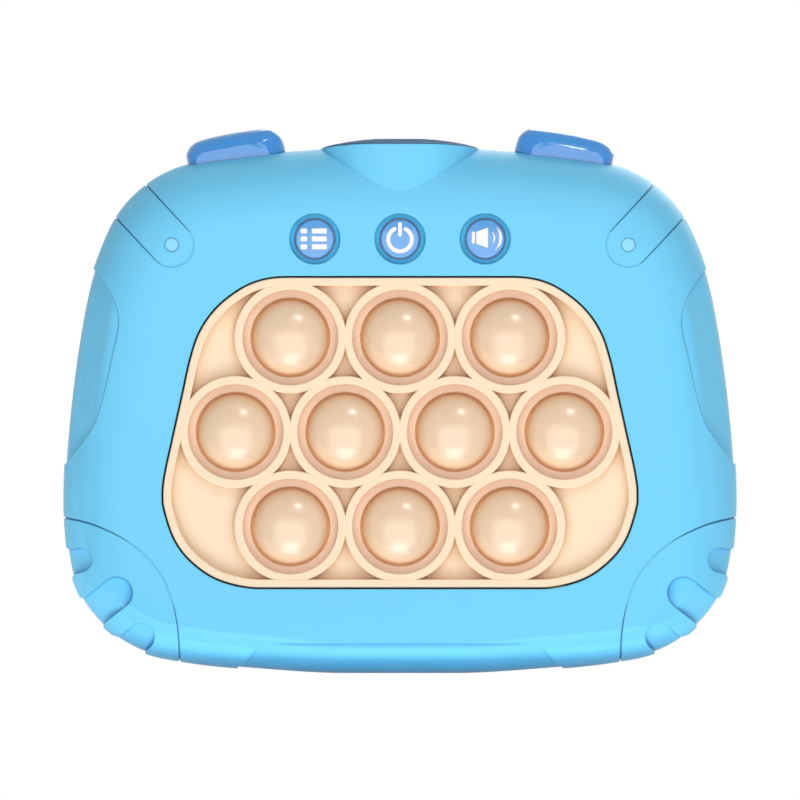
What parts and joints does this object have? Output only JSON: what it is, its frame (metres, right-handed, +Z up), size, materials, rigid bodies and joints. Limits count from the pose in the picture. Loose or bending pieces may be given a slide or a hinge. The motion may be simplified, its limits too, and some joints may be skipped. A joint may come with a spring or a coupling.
{
  "type": "electronic bubble pop game",
  "caption": "Handheld electronic game in a rounded case, played by pressing soft silicone bubbles, with round control buttons, top shoulder buttons and a battery door.",
  "frame": {"origin": "centre of the object's bounding box at its lowest plane, which is the surface that it stands on", "axes": "+Z up as the game is held for play, -Y out of the face with the bubbles, +X to the player's right"},
  "size_m": [0.1698, 0.045, 0.1373],
  "materials": {
    "case_blue": "satin moulded plastic with a very fine grain",
    "silicone_cream": "soft matt silicone",
    "bubble_cream": "soft satin silicone, slightly translucent",
    "button_blue": "smooth gloss with a white printed symbol",
    "shoulder_blue": "high gloss, tinted",
    "lens_blue": "high gloss, dark tint",
    "board_green": "solder mask",
    "retainer_white": "plain moulded",
    "membrane_grey": "plain film",
    "led_white": "clear resin",
    "switch_black": "plain moulded",
    "steel": "zinc plated",
    "battery_green": "printed sleeve",
    "speaker_black": "painted frame"
  },
  "bodies": {
    "case": {"front_shell": "case_blue", "rear_shell": "case_blue", "bubble_pad": "silicone_cream", "light_window": "lens_blue", "window_led": "led_white", "pad_retainer": "retainer_white", "main_board": "board_green", "switch_sheet": "membrane_grey", "speaker": "speaker_black", "led_01": "led_white", "led_02": "led_white", "led_03": "led_white", "led_04": "led_white", "led_05": "led_white", "led_06": "led_white", "led_07": "led_white", "led_08": "led_white", "led_09": "led_white", "led_10": "led_white", "menu_switch": "switch_black", "power_switch": "switch_black", "volume_switch": "switch_black", "left_shoulder_switch": "switch_black", "right_shoulder_switch": "switch_black", "battery_1": "battery_green", "battery_2": "battery_green", "battery_3": "battery_green", "battery_contact_left_end": "steel", "battery_contact_left_link": "steel", "battery_contact_right_link": "steel", "battery_contact_right_end": "steel", "case_screw_1": "steel", "case_screw_2": "steel", "case_screw_3": "steel", "case_screw_4": "steel", "case_screw_5": "steel", "case_screw_6": "steel", "board_screw_1": "steel", "board_screw_2": "steel", "board_screw_3": "steel", "board_screw_4": "steel"},
    "bubble_01": {"bubble_01": "bubble_cream"},
    "bubble_02": {"bubble_02": "bubble_cream"},
    "bubble_03": {"bubble_03": "bubble_cream"},
    "bubble_04": {"bubble_04": "bubble_cream"},
    "bubble_05": {"bubble_05": "bubble_cream"},
    "bubble_06": {"bubble_06": "bubble_cream"},
    "bubble_07": {"bubble_07": "bubble_cream"},
    "bubble_08": {"bubble_08": "bubble_cream"},
    "bubble_09": {"bubble_09": "bubble_cream"},
    "bubble_10": {"bubble_10": "bubble_cream"},
    "menu_button": {"menu_button": "button_blue"},
    "power_button": {"power_button": "button_blue"},
    "volume_button": {"volume_button": "button_blue"},
    "left_shoulder_button": {"left_shoulder_button": "shoulder_blue"},
    "right_shoulder_button": {"right_shoulder_button": "shoulder_blue"},
    "battery_door": {"battery_door": "case_blue", "battery_door_screw": "steel"}
  },
  "joints": [
    {"name": "bubble_01_press", "type": "slide", "parent": "case", "child": "bubble_01", "axis": [0, 1, 0], "range_m": [0, 0.004], "stiffness_N_per_m": 400},
    {"name": "bubble_02_press", "type": "slide", "parent": "case", "child": "bubble_02", "axis": [0, 1, 0], "range_m": [0, 0.004], "stiffness_N_per_m": 400},
    {"name": "bubble_03_press", "type": "slide", "parent": "case", "child": "bubble_03", "axis": [0, 1, 0], "range_m": [0, 0.004], "stiffness_N_per_m": 400},
    {"name": "bubble_04_press", "type": "slide", "parent": "case", "child": "bubble_04", "axis": [0, 1, 0], "range_m": [0, 0.004], "stiffness_N_per_m": 400},
    {"name": "bubble_05_press", "type": "slide", "parent": "case", "child": "bubble_05", "axis": [0, 1, 0], "range_m": [0, 0.004], "stiffness_N_per_m": 400},
    {"name": "bubble_06_press", "type": "slide", "parent": "case", "child": "bubble_06", "axis": [0, 1, 0], "range_m": [0, 0.004], "stiffness_N_per_m": 400},
    {"name": "bubble_07_press", "type": "slide", "parent": "case", "child": "bubble_07", "axis": [0, 1, 0], "range_m": [0, 0.004], "stiffness_N_per_m": 400},
    {"name": "bubble_08_press", "type": "slide", "parent": "case", "child": "bubble_08", "axis": [0, 1, 0], "range_m": [0, 0.004], "stiffness_N_per_m": 400},
    {"name": "bubble_09_press", "type": "slide", "parent": "case", "child": "bubble_09", "axis": [0, 1, 0], "range_m": [0, 0.004], "stiffness_N_per_m": 400},
    {"name": "bubble_10_press", "type": "slide", "parent": "case", "child": "bubble_10", "axis": [0, 1, 0], "range_m": [0, 0.004], "stiffness_N_per_m": 400},
    {"name": "menu_button_press", "type": "slide", "parent": "case", "child": "menu_button", "axis": [0, 1, 0], "range_m": [0, 0.0012], "stiffness_N_per_m": 800},
    {"name": "power_button_press", "type": "slide", "parent": "case", "child": "power_button", "axis": [0, 1, 0], "range_m": [0, 0.0012], "stiffness_N_per_m": 800},
    {"name": "volume_button_press", "type": "slide", "parent": "case", "child": "volume_button", "axis": [0, 1, 0], "range_m": [0, 0.0012], "stiffness_N_per_m": 800},
    {"name": "left_shoulder_button_press", "type": "slide", "parent": "case", "child": "left_shoulder_button", "axis": [0.1201, 0, -0.9928], "range_m": [0, 0.002], "stiffness_N_per_m": 800},
    {"name": "right_shoulder_button_press", "type": "slide", "parent": "case", "child": "right_shoulder_button", "axis": [-0.1201, 0, -0.9928], "range_m": [0, 0.002], "stiffness_N_per_m": 800},
    {"name": "battery_door_swing", "type": "hinge", "parent": "case", "child": "battery_door", "pos_m": [0, 0.0225, 0.04735], "axis": [-1, 0, 0], "range_deg": [0, 60]}
  ]
}
